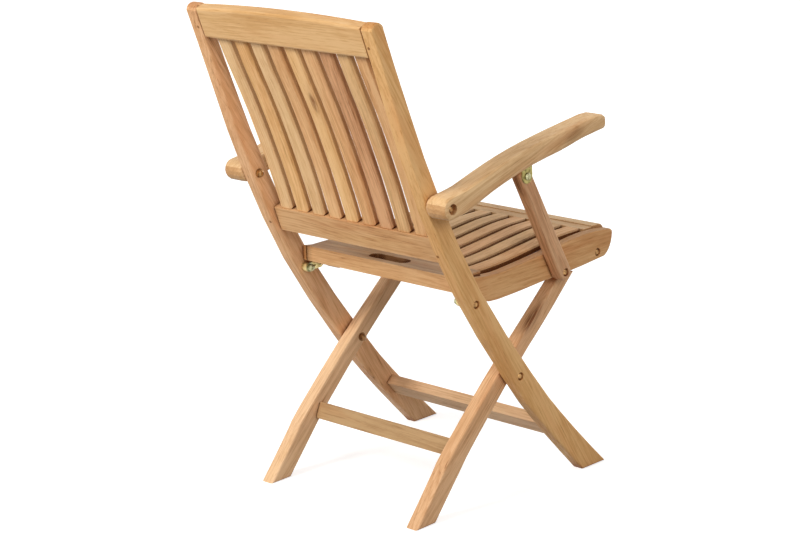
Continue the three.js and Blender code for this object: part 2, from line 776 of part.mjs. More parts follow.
// The leaf of a pivot bracket: a flat strip with a pointed tip, let into the rail's outer face.
function leafOutline(grow) {
  const low = seatPivot.z - LEAF_DROP - LEAF_HEIGHT / 2 - grow;
  const high = seatPivot.z - LEAF_DROP + LEAF_HEIGHT / 2 + grow;
  const tip = seatPivot.y + LEAF_LENGTH + grow;
  const outline = new THREE.Shape();
  outline.moveTo(seatPivot.y, low);
  outline.lineTo(tip - LEAF_TIP, low);
  outline.lineTo(tip, (low + high) / 2);
  outline.lineTo(tip - LEAF_TIP, high);
  outline.lineTo(seatPivot.y, high);
  outline.closePath();
  return outline;
}

function flat(side, outline, from, to) {
  const low = side > 0 ? from : -to;
  const geometry = new THREE.ExtrudeGeometry(outline, { depth: to - from, bevelEnabled: false });
  geometry.translate(0, 0, low);
  return geometry.applyMatrix4(sideways);
}

const leafOuter = railOuter - GLUE_GAP;
const leafInner = leafOuter - LEAF_THICKNESS;
const knuckleOuter = innerFace - GLUE_GAP;
const knuckleInner = knuckleOuter - KNUCKLE_LENGTH;
const leafScrews = [1, 2].map((i) => ({
  y: seatPivot.y + LEAF_LENGTH - LEAF_TIP / 2 - (i - 1 / 2) * LEAF_SCREW_PITCH,
  z: seatPivot.z - LEAF_DROP,
}));
const screwHole = (side, from, to, at) => rodOn(side, from, to, SCREW_HOLE_RADIUS, at.y, at.z);

// Housing that takes the end of the rear board, open to the inside, the rear and the top.
function boardHousing(side) {
  const width = boardHalf + GLUE_GAP - railInner + CUT_OVERRUN;
  const depth = SEAT_BOARD_DEPTH + GLUE_GAP + CUT_OVERRUN;
  const height = SEAT_BOARD_THICKNESS + GLUE_GAP + CUT_OVERRUN;
  const x = boardHalf + GLUE_GAP - width / 2;
  const y = boardFront + GLUE_GAP - depth / 2;
  return box(side * x, y, boardBottom - GLUE_GAP + height / 2, width, depth, height, 0);
}

const railOutline = sideRailOutline();
for (const [name, side] of Object.entries(sides)) {
  const blank = sawnOn(side, railOutline, railInner, railOuter, SEAT_EDGE_ROUND);
  const cutters = [
    boardHousing(side),
    flat(side, leafOutline(GLUE_GAP), leafInner - GLUE_GAP, railOuter + CUT_OVERRUN),
    boltHole(side, railInner - CUT_OVERRUN, railOuter + CUT_OVERRUN, postFoot),
    boltHole(side, railInner - CUT_OVERRUN, railOuter + CUT_OVERRUN, frontBolt),
    counterbore(side, railOuter - COUNTERBORE_DEPTH, railOuter + CUT_OVERRUN, COUNTERBORE_RADIUS, frontBolt),
  ];
  add(`seat_side_rail_${name}`, cut(blank, cutters), teak(TEAK_LIGHT));

  const leaf = flat(side, leafOutline(0), leafInner, leafOuter);
  const knuckle = rodOn(side, knuckleInner, knuckleOuter, KNUCKLE_RADIUS, seatPivot.y, seatPivot.z);
  const bracketHoles = [
    boltHole(side, knuckleInner - CUT_OVERRUN, knuckleOuter + CUT_OVERRUN, seatPivot),
    ...leafScrews.map((at) => screwHole(side, leafInner - CUT_OVERRUN, leafOuter + CUT_OVERRUN, at)),
  ];
  add(`seat_pivot_bracket_${name}`, cut(join([leaf, knuckle]), bracketHoles), brass());
}

// Seat slats

const seatSlatPitch = (2 * (railInner - SEAT_SLAT_MARGIN) - SEAT_SLAT_WIDTH) / (SEAT_SLAT_COUNT - 1);
const seatSlatXs = Array.from({ length: SEAT_SLAT_COUNT }, (_, i) => (
  (i - (SEAT_SLAT_COUNT - 1) / 2) * seatSlatPitch
));
const slatRearY = boardFront + GLUE_GAP;
const slatFrontY = frontRailRear - GLUE_GAP;
const slatTopPoints = [
  [slatRearY, dishHeight(slatRearY) + SEAT_SLAT_REAR_CROWN],
  ...slatCrownShares.map(([along, crown]) => [
    seatY(along),
    dishHeight(seatY(along)) + crown * SEAT_SLAT_CROWN,
  ]),
  [slatFrontY, dishHeight(slatFrontY) + SEAT_SLAT_FRONT_CROWN],
];

function seatSlatOutline() {
  const outline = new THREE.Shape();
  const [first, ...rest] = slatTopPoints.map(([y, z]) => new THREE.Vector2(y, z));
  outline.moveTo(first.x, first.y);
  outline.splineThru(rest);
  const under = slatTopPoints.map(([y, z]) => new THREE.Vector2(y, z - SEAT_SLAT_THICKNESS)).reverse();
  outline.lineTo(under[0].x, under[0].y);
  outline.splineThru(under.slice(1));
  outline.closePath();
  return outline;
}

const seatTenonEnds = [slatTopPoints[0], slatTopPoints[slatTopPoints.length - 1]].map(([y, z]) => ({
  y,
  z: z - SEAT_SLAT_THICKNESS / 2,
}));
const seatTenons = (x, grow) => seatTenonEnds.map((end) => slatTenon(x, 'y', end, 0, SEAT_SLAT_WIDTH, grow));
const seatSlat = seatSlatOutline();
seatSlatXs.forEach((x, i) => {
  const half = SEAT_SLAT_WIDTH / 2;
  const blank = sawn(seatSlat, x - half, x + half, SEAT_SLAT_EDGE_ROUND, SLAT_EDGE_STEPS);
  add(`seat_slat_${i + 1}`, join([blank, ...seatTenons(x, 0)]), teak(TEAK_WARM));
});
const seatMortises = seatSlatXs.flatMap((x) => seatTenons(x, GLUE_GAP));

// Rear board with its hand slot

function slotCutter() {
  const radius = HAND_SLOT_WIDTH / 2;
  const reach = HAND_SLOT_LENGTH / 2 - radius;
  const y = seatBack + HAND_SLOT_SETBACK + radius;
  const outline = new THREE.Shape();
  roundEnd(outline, { y: reach, z: y }, radius, -Math.PI / 2, Math.PI / 2);
  roundEnd(outline, { y: -reach, z: y }, radius, Math.PI / 2, Math.PI * 3 / 2);
  outline.closePath();
  const depth = SEAT_BOARD_THICKNESS + 2 * CUT_OVERRUN;
  const geometry = new THREE.ExtrudeGeometry(outline, { depth, bevelEnabled: false });
  return geometry.translate(0, 0, boardBottom - CUT_OVERRUN);
}

const boardBlank = bar(
  2 * boardHalf, SEAT_BOARD_DEPTH, SEAT_BOARD_THICKNESS, SEAT_EDGE_ROUND,
  boardFront - SEAT_BOARD_DEPTH / 2, boardTop - SEAT_BOARD_THICKNESS / 2, 0,
);
add('seat_rear_board', cut(boardBlank, [slotCutter(), ...seatMortises]), teak(TEAK_LIGHT));

// Front rail behind the nose rail, both between the side rails

const crossHalf = railInner - GLUE_GAP;
const frontRailBlank = bar(
  2 * crossHalf, FRONT_RAIL_THICKNESS, FRONT_RAIL_HEIGHT, SEAT_EDGE_ROUND / 2,
  (frontRailRear + frontRailFront) / 2, seatTop + FRONT_RAIL_RISE - FRONT_RAIL_HEIGHT / 2, 0,
);
const frontBoltPilots = Object.values(sides).map((side) => (
  boltHole(side, railOuter - COUNTERBORE_DEPTH - FRONT_BOLT_LENGTH - GLUE_GAP, railOuter, frontBolt)
));
add('seat_front_rail', cut(frontRailBlank, [...seatMortises, ...frontBoltPilots]), teak(TEAK_LIGHT));

function noseOutline() {
  const outline = new THREE.Shape();
  const low = nosePoints[nosePoints.length - 1];
  outline.moveTo(noseRear, low.y);
  outline.lineTo(low.x, low.y);
  outline.splineThru(nosePoints.slice(0, -1).reverse());
  const radius = noseTop - nosePoints[0].y;
  roundEnd(outline, { y: noseFront - radius, z: nosePoints[0].y }, radius, 0, Math.PI / 2);
  outline.lineTo(noseRear, noseTop);
  outline.closePath();
  return outline;
}
add('seat_nose_rail', sawn(noseOutline(), -crossHalf, crossHalf, SEAT_EDGE_ROUND / 2), teak(TEAK_LIGHT));

// Arms, bent boards with a round knuckle at the pivot

function armOutline() {
  const at = ([along, up]) => new THREE.Vector2(armPivot.y + along * ARM_REACH, armPivot.z + up * ARM_RISE);
  const top = armTopShares.map(at);
  const under = armUndersideShares.map(at);
  const tip = armPivot.y + ARM_REACH;
  const outline = new THREE.Shape();
  outline.moveTo(armPivot.y, armPivot.z + ARM_KNUCKLE_RADIUS);
  outline.splineThru(top);
  const topCorner = { y: tip - ARM_TIP_ROUND, z: top[top.length - 1].y - ARM_TIP_ROUND };
  const lowCorner = { y: tip - ARM_TIP_ROUND, z: under[0].y + ARM_TIP_ROUND };
  roundEnd(outline, topCorner, ARM_TIP_ROUND, Math.PI / 2, 0);
  roundEnd(outline, lowCorner, ARM_TIP_ROUND, 0, -Math.PI / 2);
  outline.splineThru(under.slice(1));
  const oneStep = Math.PI / HALF_ROUND_STEPS;
  roundEnd(outline, armPivot, ARM_KNUCKLE_RADIUS, knuckleStart, Math.PI / 2 - Math.PI * 2 + oneStep);
  outline.closePath();
  return outline;
}

// Post: a straight tapered board with a round head and a round foot.
function postOutline() {
  const along = Math.atan2(postHead.z - postFoot.z, postHead.y - postFoot.y);
  const outline = new THREE.Shape();
  roundEnd(outline, postHead, POST_HEAD_WIDTH / 2, along - Math.PI / 2, along + Math.PI / 2);
  roundEnd(outline, postFoot, POST_FOOT_WIDTH / 2, along + Math.PI / 2, along + Math.PI * 3 / 2);
  outline.closePath();
  return outline;
}

function armPlateOutline() {
  const half = ARM_PLATE_WIDTH / 2;
  const outline = new THREE.Shape();
  outline.moveTo(postHead.y + half, postHead.z + ARM_PLATE_RISE);
  outline.lineTo(postHead.y - half, postHead.z + ARM_PLATE_RISE);
  roundEnd(outline, postHead, half, Math.PI, Math.PI * 2);
  outline.closePath();
  return outline;
}

const armScrews = [-1, 1].map((way) => ({
  y: postHead.y + way * ARM_SCREW_SPREAD,
  z: postHead.z + ARM_SCREW_RISE,
}));
const armBoltSeat = armOuter - ARM_COUNTERBORE_DEPTH;
const postBoltSeat = postOuter - COUNTERBORE_DEPTH;
const postNutFace = postInner + NUT_COUNTERBORE_DEPTH;
const armBoard = armOutline();
const postBoard = postOutline();
const armPlate = armPlateOutline();

for (const [name, side] of Object.entries(sides)) {
  const armBlank = sawnOn(side, armBoard, armInner, armOuter, ARM_EDGE_ROUND);
  const armCutters = [
    boltHole(side, armInner - CUT_OVERRUN, armOuter + CUT_OVERRUN, armPivot),
    counterbore(side, armBoltSeat, armOuter + CUT_OVERRUN, ARM_COUNTERBORE_RADIUS, armPivot),
  ];
  add(`arm_${name}`, cut(armBlank, armCutters), teak(TEAK_LIGHT));

  const postBlank = sawnOn(side, postBoard, postInner, postOuter, POST_EDGE_ROUND);
  const postCutters = [
    boltHole(side, postInner - CUT_OVERRUN, postOuter + CUT_OVERRUN, postHead),
    counterbore(side, postInner - CUT_OVERRUN, postNutFace, NUT_COUNTERBORE_RADIUS, postHead),
    boltHole(side, postInner - CUT_OVERRUN, postOuter + CUT_OVERRUN, postFoot),
    counterbore(side, postBoltSeat, postOuter + CUT_OVERRUN, COUNTERBORE_RADIUS, postFoot),
  ];
  add(`arm_post_${name}`, cut(postBlank, postCutters), teak(TEAK_WARM));

  const plate = flat(side, armPlate, plateInner, plateOuter);
  const plateHoles = [
    boltHole(side, plateInner - CUT_OVERRUN, plateOuter + CUT_OVERRUN, postHead),
    ...armScrews.map((at) => screwHole(side, plateInner - CUT_OVERRUN, plateOuter + CUT_OVERRUN, at)),
  ];
  add(`arm_bracket_${name}`, cut(plate, plateHoles), brass());
}

// Pivot bolts, each with its nut on the inner end, and the bolts of the front rail

const pivots = [
  { name: 'arm_pivot', at: armPivot, seat: armBoltSeat, face: innerFace },
  { name: 'leg_pivot', at: legPivot, seat: outerFace - COUNTERBORE_DEPTH, face: shortInner },
  { name: 'seat_pivot', at: seatPivot, seat: outerFace - COUNTERBORE_DEPTH, face: knuckleInner },
  { name: 'post_foot', at: postFoot, seat: postBoltSeat, face: railInner },
  { name: 'post_head', at: postHead, seat: plateOuter, face: postNutFace },
];
for (const [side, way] of Object.entries(sides)) {
  for (const { name, at, seat, face } of pivots) {
    add(`${name}_bolt_${side}`, toGeometry(toSolid(boltAt(way, seat + GLUE_GAP, tipIn(face), at))), brass());
    add(`${name}_nut_${side}`, toGeometry(toSolid(nutAt(way, face, at))), brass());
  }
  const seat = railOuter - COUNTERBORE_DEPTH + GLUE_GAP;
  const bolt = boltAt(way, seat, seat - FRONT_BOLT_LENGTH, frontBolt);
  add(`front_rail_bolt_${side}`, toGeometry(toSolid(bolt)), brass());
}

// The origin is on the floor under the middle of the chair's footprint.
const bounds = new THREE.Box3().setFromObject(chair);
const middle = bounds.getCenter(new THREE.Vector3());
chair.position.set(-middle.x, -middle.y, -bounds.min.z);

export default chair;
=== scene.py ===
"""Looks of the folding teak armchair: bare sanded teak, satin brass, pale studio."""

import math
import random

import bmesh
import bpy
from mathutils import Matrix, Vector


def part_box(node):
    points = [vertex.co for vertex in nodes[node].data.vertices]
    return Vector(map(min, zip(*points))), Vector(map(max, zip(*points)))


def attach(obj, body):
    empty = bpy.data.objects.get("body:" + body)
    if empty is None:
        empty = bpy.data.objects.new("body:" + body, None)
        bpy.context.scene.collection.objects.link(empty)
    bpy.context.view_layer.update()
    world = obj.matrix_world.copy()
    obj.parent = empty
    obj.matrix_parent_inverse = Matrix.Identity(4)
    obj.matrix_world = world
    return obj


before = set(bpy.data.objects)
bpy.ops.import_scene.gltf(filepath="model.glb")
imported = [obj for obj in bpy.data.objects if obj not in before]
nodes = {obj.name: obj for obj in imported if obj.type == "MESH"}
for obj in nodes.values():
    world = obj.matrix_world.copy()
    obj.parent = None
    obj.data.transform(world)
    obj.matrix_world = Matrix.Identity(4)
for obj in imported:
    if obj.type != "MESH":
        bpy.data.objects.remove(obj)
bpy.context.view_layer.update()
SIDES = {"right": 1, "left": -1}

# Camera, solved from the photograph's straight edges
CAMERA_PLACE = Vector((2.806, -2.8342, 1.480))
CAMERA_YAW = math.radians(45.16)
CAMERA_PITCH = math.radians(15.24)
CAMERA_ROLL = math.radians(-2.54)
CAMERA_LENS = 102.5
SENSOR_WIDTH = 36

# Directions, and those that the boards' grain follows
ACROSS = Vector((1, 0, 0))
FORWARD = Vector((0, 1, 0))
UPWARD = Vector((0, 0, 1))
LONG_LEG_GRAIN = Vector((0, -0.50, 0.87))
BACK_GRAIN = Vector((0, -0.33, 0.94))
SHORT_LEG_GRAIN = Vector((0, 0.73, 0.68))
ARM_GRAIN = Vector((0, 0.955, 0.297))
POST_GRAIN = Vector((0, -0.449, 0.894))


def linear(red, green, blue, level=1.0):
    """A colour written as on a screen, from 0 to 255, as Blender's linear colour."""
    shares = [c * level / 255 for c in (red, green, blue)]
    return tuple(((s + 0.055) / 1.055) ** 2.4 if s > 0.04045 else s / 12.92 for s in shares) + (1,)


# Tones of teak as light, middle and dark wood, on a screen
GOLD = ((233, 190, 136), (214, 165, 108), (158, 104, 58))
AMBER = ((238, 190, 130), (217, 163, 101), (160, 103, 54))
PINK = ((230, 186, 142), (208, 159, 114), (152, 102, 66))
CREAM = ((231, 194, 146), (211, 168, 119), (154, 109, 66))
TAN = ((226, 181, 131), (205, 153, 103), (150, 98, 58))
HONEY = ((227, 179, 125), (205, 149, 95), (150, 97, 53))
BROWN = ((222, 175, 127), (196, 146, 98), (136, 90, 52))
ROSE = ((214, 164, 121), (186, 134, 93), (128, 84, 52))
OLIVE = ((222, 181, 131), (197, 154, 106), (142, 99, 60))
STRAW = ((236, 197, 155), (215, 172, 130), (162, 114, 76))
UMBER = ((220, 174, 132), (192, 145, 106), (132, 90, 60))
PEG_TONE = ((186, 138, 90), (156, 108, 66), (110, 70, 40))

# Tones of brass as bright and tarnished metal
PALE_BRASS = ((224, 208, 150), (178, 158, 100))
NUT_BRASS = ((186, 184, 146), (130, 124, 84))
PLATE_BRASS = ((170, 158, 98), (112, 100, 54))
WARM_BRASS = ((186, 144, 92), (126, 90, 52))
AGED_BRASS = ((142, 104, 66), (100, 72, 44))

# Tints that the wood's colour is multiplied by
# The dark marks' core tint: resin in the real knot, painted shade in the others
MARK_CORE_TINT = linear(196, 176, 156)
RED_TINT = linear(232, 184, 148)
OLIVE_TINT = linear(236, 226, 196)
END_TINT = linear(206, 178, 150)
WEATHERED_TINT = linear(196, 200, 208)

# Painted shade in seams, holes and gaps, where little of the surroundings is open: openness at which it is
# full, openness at which it ends, and its tint
SHADE_REACH = 0.03
SHADE_SAMPLES = 6
PLAIN_PAINTED_SHADE = (0.14, 0.75, linear(150, 110, 72))
BORED_PAINTED_SHADE = (0.08, 0.62, linear(196, 158, 120))
OPEN_PAINTED_SHADE = (0.64, 1.0, linear(112, 86, 64))

# Noises in the wood: scale along the grain, scale across it, detail, roughness and distortion
NOISES = {
    "bend": (2.2, 7, 1),
    "wobble": (9, 60, 2),
    "uneven": (1.1, 52, 2),
    "fading": (5, 34, 1),
    "streak": (10, 230, 4, 0.66, 0.12),
    "fibre": (46, 1500, 2),
    "pore": (90, 1100, 1),
    "fleck": (22, 460, 2),
    "broad": (3.5, 17, 2, 0.5, 0.4),
    "mottle": (18, 95, 2),
    "broken": (14, 520, 2),
    "tint": (3.5, 28, 3),
    "grey": (3, 30, 2),
}

# Where a value starts and ends to count, then what it counts there if that isn't 0 and 1
RANGES = {
    "late rise": (0.25, 0.86),
    "late fall": (1.0, 0.9),
    "fading": (0.35, 0.66, 0.25, 1.0),
    "pore": (0.6, 0.72),
    "fleck": (0.54, 0.72),
    "middle tone": (0.0, 0.55),
    "dark tone": (0.5, 1.0),
    "core": (0.9, 0.25),
    "broken": (0.36, 0.6, 0.25, 1.0),
    "red": (0.52, 0.75, 0.0, 0.3),
    "olive": (0.48, 0.25, 0.0, 0.3),
    "grey": (0.3, 0.6, 0.45, 1.0),
    "end grain": (0.6, 0.9),
    "top face": (0.7, 0.95),
    "tarnish": (0.35, 0.7),
    "turning marks": (0.2, 0.8, 0.3, 0.5),
}

# Growth rings, in metres: their pitch, and how far noises and dark marks move them
RING_PITCH = 0.0065
RING_BEND = 0.055
RING_WOBBLE = 0.004
RING_UNEVEN = 0.022
RING_MARK_PULL = 0.016

# How little a distance along the board counts, from the heart and from a dark mark
HEART_STRETCH = (0.035, 1, 1)
MARK_STRETCH = (0.32, 1, 1)

# Dark marks, a real knot and patches of painted shade drawn like knots: the least radius that counts, and the
# share of the dark tone in the halo
SMALLEST_MARK = 0.0005
MARK_HALO = 0.32

# Shares in the depth of the wood's tone
BASE_DEPTH = 0.18
LATE_DEPTH = 0.24
PORE_DEPTH = 0.14
FLECK_DEPTH = 0.3
SWINGING_DEPTHS = {"streak": 0.86, "broad": 0.9, "mottle": 0.45, "fibre": 0.36}

# The wood's surface
END_GRAIN_SHARE = 0.6
WOOD_ROUGHNESS = 0.5
WOOD_ROUGHNESS_SWING = 0.25
WOOD_SPECULAR = 0.13
WOOD_BUMP = 0.6
WOOD_BUMP_DEPTH = 0.00018
FIBRE_HEIGHT = 0.5
STREAK_HEIGHT = 0.6
LATE_HEIGHT = 0.4

# Share of X in a grain above which Y serves to build the board's axes
SIDEWAYS_SHARE = 0.9

# Bounds of a board's drawn place in the tree, and of its heart along, beside and off the board
PLACE_BOUND = 3
HEART_ALONG = 0.4
HEART_BESIDE = 0.05
HEART_OFF = (0.02, 0.07)

# The brass's surface, with scale and detail of its noises, and the step from a piece's noise to the next
BRASS_METALLIC = 0.9
BRASS_BUMP = 0.4
BRASS_BUMP_DEPTH = 0.00008
BRASS_STEP = (0.37, 0.11, 0.53)
TARNISH_NOISE = (160, 3)
TURNING_NOISE = (900, 2)
TURNING_STRETCH = (1, 1, 7)

# Places of a colour mix's sockets
MIX_SHARE = 0
MIX_FIRST = 6
MIX_SECOND = 7
MIX_RESULT = 2


class Tree:
    """A short way to write a node tree: most calls add a node and return its output."""

    def __init__(self, tree):
        self.tree = tree

    def node(self, kind, *values, **settings):
        """A node of a kind, with its settings and its first inputs in order."""
        made = self.tree.nodes.new("ShaderNode" + kind)
        for name, value in settings.items():
            setattr(made, name, value)
        for socket, value in zip(made.inputs, values):
            self.feed(socket, value)
        return made

    def feed(self, socket, value):
        """Gives a socket a value, or the output of another node."""
        if isinstance(value, bpy.types.NodeSocket):
            self.tree.links.new(value, socket)
        else:
            socket.default_value = value

    def feed_all(self, made, values):
        """Feeds a node's inputs by name."""
        for name, value in values.items():
            self.feed(made.inputs[name], value)

    def math(self, operation, *values, clamp=False):
        """A sum, product or other operation on numbers."""
        return self.node("Math", *values, operation=operation, use_clamp=clamp).outputs[0]

    def vector(self, operation, *values):
        """An operation on vectors, which gives a vector or a number."""
        made = self.node("VectorMath", *values, operation=operation)
        return made.outputs["Value" if operation in ("LENGTH", "DOT_PRODUCT") else "Vector"]

    def noise(self, place, scale=1.0, detail=2.0, roughness=0.5, distortion=0.0):
        """Soft noise from 0 to 1."""
        made = self.node("TexNoise")
        self.feed_all(made, {"Vector": place, "Scale": scale, "Detail": detail,
                             "Roughness": roughness, "Distortion": distortion})
        return made.outputs["Fac"]

    def remap(self, value, low, high, to_low=0.0, to_high=1.0):
        """A value brought softly from one range to another."""
        made = self.node("MapRange", value, low, high, to_low, to_high, interpolation_type="SMOOTHSTEP")
        return made.outputs[0]

    def mix(self, share, first, second, blend="MIX"):
        """Two colours mixed."""
        made = self.node("Mix", data_type="RGBA", blend_type=blend)
        for place, value in ((MIX_SHARE, share), (MIX_FIRST, first), (MIX_SECOND, second)):
            self.feed(made.inputs[place], value)
        return made.outputs[MIX_RESULT]

    def swing(self, noise, reach):
        """A noise from 0 to 1 as a value round 0, times a reach."""
        return self.math("MULTIPLY", self.math("SUBTRACT", noise, 0.5), reach)

    def total(self, result, *values):
        """The sum of a first value and the others."""
        for value in values:
            result = self.math("ADD", result, value)
        return result

    def bump(self, height, strength, depth):
        """A surface direction that follows a height."""
        made = self.node("Bump")
        self.feed_all(made, {"Strength": strength, "Distance": depth, "Height": height})
        return made.outputs[0]

    def show(self, kind, shader):
        """Leads a shader to the tree's output, a material's or a world's."""
        self.feed(self.node("Output" + kind).inputs["Surface"], shader)


TEAK_INPUTS = {
    "NodeSocketVector": ("Board", "Heart", "Mark Centre"),
    "NodeSocketFloat": ("Figure", "Mark Size", "Mark Depth", "End Grain", "Weathered",
                        "Painted Shade Low", "Painted Shade High"),
    "NodeSocketColor": ("Light", "Middle", "Dark", "Painted Shade Tint"),
}
TEAK_OUTPUTS = {
    "NodeSocketColor": ("Color",),
    "NodeSocketFloat": ("Roughness", "Height"),
}


def teak_group():
    """Grain of a teak board: rings about a heart beside the board, streaks, pores and broad tones."""
    tree = bpy.data.node_groups.new("TeakGrain", "ShaderNodeTree")
    for way, sockets in (("INPUT", TEAK_INPUTS), ("OUTPUT", TEAK_OUTPUTS)):
        for kind, names in sockets.items():
            for name in names:
                tree.interface.new_socket(name, in_out=way, socket_type=kind)
    t = Tree(tree)
    given = tree.nodes.new("NodeGroupInput").outputs
    place = given["Board"]

    def grain(name):
        """One of the noises, stretched along the board."""
        along, across, *settings = NOISES[name]
        return t.noise(t.vector("MULTIPLY", place, (along, across, across)), 1.0, *settings)

    def ranged(value, name):
        """A value brought to one of the ranges."""
        return t.remap(value, *RANGES[name])

    # A dark mark pulls the rings round it: a real knot, and the patches of painted shade drawn like knots
    from_mark = t.vector("MULTIPLY", t.vector("SUBTRACT", place, given["Mark Centre"]), MARK_STRETCH)
    mark_radius = t.math("MAXIMUM", given["Mark Size"], SMALLEST_MARK)
    mark_share = t.math("DIVIDE", t.vector("LENGTH", from_mark), mark_radius)
    mark_on = t.math("GREATER_THAN", given["Mark Size"], SMALLEST_MARK)
    falling = t.math("MULTIPLY", t.math("MULTIPLY", mark_share, mark_share), -1)
    pull = t.math("MULTIPLY", t.math("EXPONENT", falling), mark_on)

    # Rings about the heart, bent and uneven, with dark late wood that fades in places
    from_heart = t.vector("MULTIPLY", t.vector("SUBTRACT", place, given["Heart"]), HEART_STRETCH)
    radius = t.total(
        t.vector("LENGTH", from_heart),
        t.swing(grain("bend"), RING_BEND),
        t.math("MULTIPLY", grain("wobble"), RING_WOBBLE),
        t.math("MULTIPLY", grain("uneven"), RING_UNEVEN),
        t.math("MULTIPLY", pull, RING_MARK_PULL),
    )
    ring = t.math("FRACT", t.math("DIVIDE", radius, RING_PITCH))
    late = t.math("MULTIPLY", ranged(ring, "late rise"), ranged(ring, "late fall"))
    late = t.math("MULTIPLY", late, ranged(grain("fading"), "fading"))
    late = t.math("MULTIPLY", late, given["Figure"])

    # Fibre streaks, pores and broad tones
    swinging = {name: grain(name) for name in SWINGING_DEPTHS}
    pore = ranged(grain("pore"), "pore")
    fleck = ranged(grain("fleck"), "fleck")
    depth = t.total(
        t.math("MULTIPLY", late, LATE_DEPTH),
        *(t.swing(swinging[name], share) for name, share in SWINGING_DEPTHS.items()),
        t.math("MULTIPLY", pore, PORE_DEPTH),
        t.math("MULTIPLY", fleck, FLECK_DEPTH),
    )
    depth = t.math("ADD", depth, BASE_DEPTH, clamp=True)
    colour = t.mix(ranged(depth, "middle tone"), given["Light"], given["Middle"])
    colour = t.mix(ranged(depth, "dark tone"), colour, given["Dark"])

    # A dark mark's broken dark core, and the halo round it: resin in a real knot, painted shade in the other
    # marks
    core = t.math("MULTIPLY", ranged(mark_share, "core"), mark_on)
    core = t.math("MULTIPLY", core, ranged(grain("broken"), "broken"))
    mark_core = t.mix(1.0, given["Dark"], MARK_CORE_TINT, "MULTIPLY")
    colour = t.mix(t.math("MULTIPLY", core, given["Mark Depth"]), colour, mark_core)
    colour = t.mix(t.math("MULTIPLY", pull, MARK_HALO), colour, given["Dark"])

    # Patches that lean to red and to olive
    tint = grain("tint")
    colour = t.mix(ranged(tint, "red"), colour, RED_TINT, "MULTIPLY")
    colour = t.mix(ranged(tint, "olive"), colour, OLIVE_TINT, "MULTIPLY")

    # End grain drinks oil, weathered faces go grey, and seams, holes and gaps get painted shade where little
    # of the surroundings is open
    end_share = t.math("MULTIPLY", given["End Grain"], END_GRAIN_SHARE)
    colour = t.mix(end_share, colour, END_TINT, "MULTIPLY")
    grey_share = t.math("MULTIPLY", given["Weathered"], ranged(grain("grey"), "grey"))
    colour = t.mix(grey_share, colour, WEATHERED_TINT, "MULTIPLY")
    # Painted shade: ambient occlusion darkens the colour in seams, holes and gaps
    seam_shade = t.node("AmbientOcclusion", samples=SHADE_SAMPLES)
    seam_shade.inputs["Distance"].default_value = SHADE_REACH
    openness = t.remap(seam_shade.outputs["AO"], given["Painted Shade Low"], given["Painted Shade High"])
    painted_shade = t.mix(1.0, colour, given["Painted Shade Tint"], "MULTIPLY")
    colour = t.mix(openness, painted_shade, colour)

    height = t.total(
        t.math("MULTIPLY", swinging["fibre"], FIBRE_HEIGHT),
        t.math("MULTIPLY", pore, -1),
        t.math("MULTIPLY", swinging["streak"], STREAK_HEIGHT),
        t.math("MULTIPLY", late, -LATE_HEIGHT),
    )
    roughness = t.math("ADD", WOOD_ROUGHNESS, t.swing(swinging["streak"], WOOD_ROUGHNESS_SWING))
    t.feed_all(tree.nodes.new("NodeGroupOutput"), {"Color": colour, "Roughness": roughness, "Height": height})
    return tree


TEAK = teak_group()


def new_material(name):
    """An empty material, and the tree to write it in."""
    material = bpy.data.materials.new(name)
    material.use_nodes = True
    material.node_tree.nodes.clear()
    return material, Tree(material.node_tree)


def teak(name, grain, tone, seed, figure=1.0, dark_mark=None, weathered=0.0, seam_shade=PLAIN_PAINTED_SHADE, level=1.0):
    """Teak whose grain runs along a direction, with its own heart, tones and place in the tree."""
    draw = random.Random(seed)
    material, t = new_material("teak_" + name)
    along = grain.normalized()
    side = ACROSS if abs(along.dot(ACROSS)) < SIDEWAYS_SHARE else FORWARD
    third = along.cross(side).normalized()
    side = third.cross(along)
    board_axes = Matrix((along, side, third))
    shift = Vector([draw.uniform(-PLACE_BOUND, PLACE_BOUND) for _ in range(3)])
    heart = Vector((draw.uniform(-HEART_ALONG, HEART_ALONG), draw.uniform(-HEART_BESIDE, HEART_BESIDE),
                    draw.choice((-1, 1)) * draw.uniform(*HEART_OFF)))
    coordinates = t.node("TexCoord").outputs
    turn = tuple(board_axes.to_euler("XYZ"))
    facing = coordinates["Normal"]
    facing_end = t.math("ABSOLUTE", t.vector("DOT_PRODUCT", facing, tuple(along)))
    feeds = {
        "Board": t.node("Mapping", coordinates["Object"], tuple(shift), turn).outputs[0],
        "Heart": tuple(shift + heart), "Figure": figure,
        "End Grain": t.remap(facing_end, *RANGES["end grain"]),
        # Painted shade in seams, holes and gaps: where it is full, where it ends, and its tint
        "Painted Shade Low": seam_shade[0], "Painted Shade High": seam_shade[1], "Painted Shade Tint": seam_shade[2],
        "Light": linear(*tone[0], level), "Middle": linear(*tone[1], level), "Dark": linear(*tone[2], level),
    }
    # A dark mark: the back slat's knot is real, the short leg's and the post's are painted shade
    if dark_mark:
        mark_place, feeds["Mark Size"], feeds["Mark Depth"] = dark_mark
        feeds["Mark Centre"] = tuple(shift + board_axes @ Vector(mark_place))
    if weathered:
        facing_up = t.vector("DOT_PRODUCT", facing, tuple(UPWARD))
        feeds["Weathered"] = t.remap(facing_up, *RANGES["top face"], 0.0, weathered)
    group = t.node("Group", node_tree=TEAK)
    t.feed_all(group, feeds)
    shader = t.node("BsdfPrincipled")
    t.feed_all(shader, {
        "Base Color": group.outputs["Color"],
        "Roughness": group.outputs["Roughness"],
        "Specular IOR Level": WOOD_SPECULAR,
        "Normal": t.bump(group.outputs["Height"], WOOD_BUMP, WOOD_BUMP_DEPTH),
    })
    t.show("Material", shader.outputs[0])
    return material


